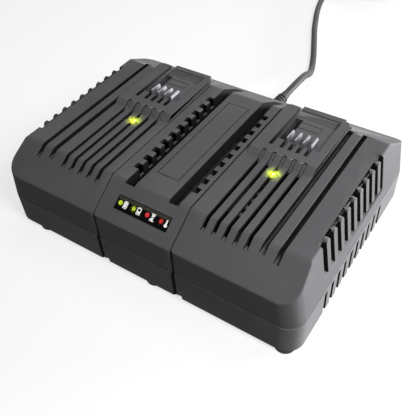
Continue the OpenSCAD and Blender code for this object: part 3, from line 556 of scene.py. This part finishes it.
def edge_round(edge, rim_share, has_rib_heads):
    """An edge's round as a share of the form's: rims of openings and joints get the narrow one."""
    sharpness = edge.calc_face_angle_signed()
    if sharpness < HARD_EDGE:
        return 0.0
    start, end = (vert.co for vert in edge.verts)
    length, middle = edge.calc_length() / MM, (start + end) / 2 / MM
    along_y = abs((start - end).y) / MM > RIM_EDGE
    of_joint = abs(middle.z - PARTING_HEIGHT) < LEVEL_REACH or middle.z < SHELL_FOOT + LEVEL_REACH
    of_opening = any(face.material_index for face in edge.link_faces)
    at_front_corners = middle.y < CORNERS_BEFORE_Y and middle.z > CORNERS_ABOVE_Z
    of_rib_head = (middle.z > FLAT_TOP - RIB_HEAD_REACH and along_y
                   and RIM_EDGE < length < RIB_HEAD_EDGE)
    if has_rib_heads and of_rib_head:
        return RIB_HEAD_SHARE
    if not of_joint and not of_opening and at_front_corners and sharpness > SHARP_CORNER:
        return CORNER_SHARE
    if not of_joint and not of_opening and length > FORM_EDGE:
        return 1.0
    return rim_share if length > RIM_EDGE or of_joint else 0.0


def moulding(node_name, skin, form_round, rim_round, shade_all_walls=False,
             has_rib_heads=False):
    """The node's shape with painted shade on its recess walls, wide rounds on its form and narrow
    ones on rims.
    """
    mesh = nodes[node_name].data.copy()
    mesh.name = node_name + "_moulding"
    piece = bpy.data.objects.new(node_name + "_moulding", mesh)
    scene.collection.objects.link(piece)
    dress(piece, skin, RECESS_SHADE_ABS)
    bm = bmesh.new()
    bm.from_mesh(mesh)
    bmesh.ops.remove_doubles(bm, verts=bm.verts, dist=MERGE_DISTANCE * MM)
    bmesh.ops.dissolve_limit(bm, angle_limit=FLAT_JOIN, verts=bm.verts, edges=bm.edges)
    bm.normal_update()
    tree = BVHTree.FromBMesh(bm)
    for face in bm.faces:
        # painted shade: walls facing another wall, trench floors and, on the dock frames, every
        # wall take the near-black second material
        painted_shade_wall = shade_all_walls and abs(face.normal.z) < WALL_RISE
        face.material_index = int(faces_a_wall(face, tree) or is_trench_floor(face) or painted_shade_wall)
        face.smooth = True
    rounds = bm.edges.layers.float.new("bevel_weight_edge")
    for edge in bm.edges:
        if len(edge.link_faces) == 2:
            edge[rounds] = edge_round(edge, rim_round / form_round, has_rib_heads)
    bm.to_mesh(mesh)
    bm.free()
    mesh.set_sharp_from_angle(angle=HARD_EDGE)
    bevel = piece.modifiers.new("rounded_edges", "BEVEL")
    bevel.width = form_round * MM
    bevel.segments = 3
    bevel.limit_method = "WEIGHT"
    bevel.use_clamp_overlap = False
    bevel.harden_normals = True
    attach(piece, "root")
    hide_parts(node_name)


moulding("left_top_housing", TOP_ABS, form_round=1.8, rim_round=0.4)
moulding("right_top_housing", TOP_ABS, form_round=1.8, rim_round=0.4)
moulding("spine_cover", TOP_ABS, form_round=1.8, rim_round=0.4, has_rib_heads=True)
moulding("left_dock_frame", TOP_ABS, form_round=0.6, rim_round=0.35,
         shade_all_walls=True)
moulding("right_dock_frame", TOP_ABS, form_round=0.6, rim_round=0.35,
         shade_all_walls=True)
moulding("bottom_housing", SHELL_PAINTED_LIGHT_ABS, form_round=1.2, rim_round=0.3)


# ---- dock aprons ----

# how far each dock's middle stands from the spine's, and the rails' inner sides from it
DOCK_OFFSET = 55.75
BAY_LEFT, BAY_RIGHT = -14.2, 17.75
APRON_FRONT, APRON_REAR = 62.7, 68.3
APRON_TOP = 62.0
APRON_LEAN, APRON_ROUND = 0.6, 0.5
REAR_SLOPE_START, REAR_SLOPE_RUN, REAR_SLOPE_FOOT = 56.5, 26.5, 48
REAR_SLOPE_FALL = (FLAT_TOP - REAR_SLOPE_FOOT) / REAR_SLOPE_RUN
SUNK_IN_SLOPE = 0.3


def dock_apron(name, centre):
    """The end of the dock floor, which reaches over the rear slope between the two rails."""
    front_foot, rear_foot = (FLAT_TOP - SUNK_IN_SLOPE - REAR_SLOPE_FALL * (y - REAR_SLOPE_START)
                             for y in (APRON_FRONT, APRON_REAR))
    side_view = [(APRON_FRONT, front_foot), (APRON_REAR, rear_foot),
                 (APRON_REAR - APRON_LEAN, APRON_TOP), (APRON_FRONT, APRON_TOP)]
    bm = bmesh.new()
    corners = [bm.verts.new(Vector((centre + BAY_LEFT, y, z)) * MM) for y, z in side_view]
    pull(bm, bm.faces.new(corners), ((BAY_RIGHT - BAY_LEFT) * MM, 0, 0))
    bmesh.ops.recalc_face_normals(bm, faces=bm.faces)
    rear_top = [vert for vert in bm.verts
                if vert.co.y / MM > APRON_REAR - 1 and vert.co.z / MM > APRON_TOP - 1]
    rear_edge = [edge for edge in bm.edges if all(vert in rear_top for vert in edge.verts)]
    bmesh.ops.bevel(bm, geom=rear_edge, offset=APRON_ROUND * MM, segments=3, profile=0.5,
                    affect="EDGES", material=-1)
    add_piece(name, bm, TOP_ABS)


dock_apron("left_dock_apron", -DOCK_OFFSET)
dock_apron("right_dock_apron", DOCK_OFFSET)


# ---- black gauze: painted shade behind the vents ----

GAUZE_SIZE = (0.4, 100, 18)
# from the housing's middle plane, and its middle along and up the side
GAUZE_OUT, GAUZE_MIDDLE = 112.1, (-1, 14.6)


def vent_shade_gauze(name, x):
    """Black woven gauze that stands behind the vents of one side, as painted shade for their dark
    inside.
    """
    bm = bmesh.new()
    add_block(bm, (x, *GAUZE_MIDDLE), GAUZE_SIZE)
    add_piece(name, bm, SHADE_GAUZE)


vent_shade_gauze("left_dust_gauze", -GAUZE_OUT)
vent_shade_gauze("right_dust_gauze", GAUZE_OUT)


# ---- status panel ----

# the film's middle lies PANEL_UP above the slope's front edge
FRONT_EDGE, FRONT_SLOPE_RUN = (1.15, -83.0, 47.0), 23.9
FRONT_SLOPE = atan2(FLAT_TOP - FRONT_EDGE[2], FRONT_SLOPE_RUN)
PANEL_UP = 14.15
# thicknesses of the prints and of the lights
INK, BORDER_INK = 0.12, 0.08
LIGHT_DISC, LIGHT_STAR = 0.2, 0.16
# strokes of the signs
STROKE = 0.5
on_front_slope = Matrix.Translation(Vector(FRONT_EDGE) * MM) @ Matrix.Rotation(FRONT_SLOPE, 4, "X")


def add_bar(bm, place, size, thickness=INK):
    """Printed bar on the film: its middle and its size across and up the slope."""
    add_block(bm, (place[0], PANEL_UP + place[1], thickness / 2), (*size, thickness))


def add_disc(bm, place, radius, corners=24, turn=0.0, thickness=INK, waist=1.0):
    """Printed disc, or a star with every second corner drawn in to waist."""
    rim = bmesh.ops.create_circle(bm, cap_ends=True, radius=radius * MM, segments=corners)["verts"]
    for corner in rim[1::2]:
        corner.co *= waist
    bmesh.ops.rotate(bm, cent=(0, 0, 0), matrix=Matrix.Rotation(radians(turn), 3, "Z"), verts=rim)
    bmesh.ops.translate(bm, vec=Vector((place[0], PANEL_UP + place[1], 0)) * MM, verts=rim)
    pull(bm, rim[0].link_faces[0], (0, 0, thickness * MM))


def add_to_panel(name, bm, material):
    bmesh.ops.recalc_face_normals(bm, faces=bm.faces)
    bm.transform(on_front_slope)
    add_piece(name, bm, material)


def panel_border():
    bm = bmesh.new()
    add_bar(bm, (0, 3.3), (39.4, 2.2), thickness=BORDER_INK)
    add_to_panel("panel_border", bm, FILM_BORDER)


def panel_lights(name, material, steady_x, blinking_x):
    """Two lights of one colour: the steady one is a disc and the blinking one a star."""
    steady, blinking = (steady_x, 0.1), (blinking_x, 0.1)
    bm = bmesh.new()
    add_disc(bm, steady, 1.55, thickness=LIGHT_DISC)
    add_disc(bm, blinking, 2.3, corners=16, waist=0.3, thickness=LIGHT_STAR)
    add_disc(bm, blinking, 1.0, thickness=LIGHT_DISC)
    add_to_panel(name, bm, material)


def add_battery(bm, x, charge):
    """Upright battery: a frame, its cap and a filling as high as its charge, from 0 to 1."""
    for side in (-1, 1):
        add_bar(bm, (x + side * 1.25, -0.2), (STROKE, 4.2))
        add_bar(bm, (x, -0.2 + side * 1.95), (2.9, STROKE))
    add_bar(bm, (x, 2.15), (1.3, 0.6))
    add_bar(bm, (x, -1.6 + 1.5 * charge), (1.6, 3.0 * charge))


def add_hourglass(bm, x):
    for side in (-1, 1):
        add_bar(bm, (x, side * 2.2), (3.4, STROKE))
        add_disc(bm, (x, side * 1.25), 1.7, corners=3, turn=-90 * side)


def add_thermometer(bm, x):
    add_bar(bm, (x, 0.7), (1.1, 3.4))
    add_disc(bm, (x, -1.3), 1.15)


def panel_signs():
    """One white sign to the right of each light."""
    bm = bmesh.new()
    add_battery(bm, -13.2, charge=1.0)
    add_battery(bm, -2.7, charge=0.5)
    add_hourglass(bm, 7.9)
    add_thermometer(bm, 18.2)
    add_to_panel("panel_signs", bm, WHITE_INK)


panel_border()
panel_lights("panel_charge_lights", GREEN_LIGHT, steady_x=-17.2, blinking_x=-6.7)
panel_lights("panel_fault_lights", RED_LIGHT, steady_x=3.8, blinking_x=14.3)
panel_signs()


# ---- bay lights ----

# a little wider than its slot, so that it sits in both walls
STRIP_SIZE = (2.8, 8.0, 0.8)
STRIP_TOP = 62.3
# the small lamp above each tip: its height, its radius and its power in watts
GLOW_HEIGHT, GLOW_RADIUS, GLOW_POWER = 4.2, 0.4, 0.02
GLOW_CONE = radians(132)


def bay_strip(node_name, tip):
    """Clear strip that closes the slot round a bay light, with painted light that fades out from
    its tip: the glow spilling round it.
    """
    lamp = Vector((tip.x, tip.y, STRIP_TOP * MM))
    acrylic = painted_glow_strip(node_name + "_glow_painted_acrylic", "#1d1e18", glow="#c6d820", strength=1.5,
                        lamp=lamp, reach_mm=3.6)
    bm = bmesh.new()
    add_block(bm, (tip.x / MM, tip.y / MM, STRIP_TOP - STRIP_SIZE[2] / 2), STRIP_SIZE)
    add_piece(node_name + "_strip", bm, acrylic)


def bay_glow(node_name, tip):
    """A small cone of light that falls back on the plastic round the tip."""
    data = bpy.data.lights.new(node_name + "_glow", "SPOT")
    data.energy = GLOW_POWER
    data.spot_size = GLOW_CONE
    data.spot_blend = 1.0
    data.color = linear("#d2e600")[:3]
    data.shadow_soft_size = GLOW_RADIUS * MM
    lamp = bpy.data.objects.new(node_name + "_glow", data)
    lamp.location = tip + Vector((0, 0, GLOW_HEIGHT * MM))
    scene.collection.objects.link(lamp)


for node_name in ("left_dock_light", "right_dock_light"):
    low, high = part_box(node_name)
    tip = Vector(((low.x + high.x) / 2, (low.y + high.y) / 2, high.z))
    bay_strip(node_name, tip)
    bay_glow(node_name, tip)
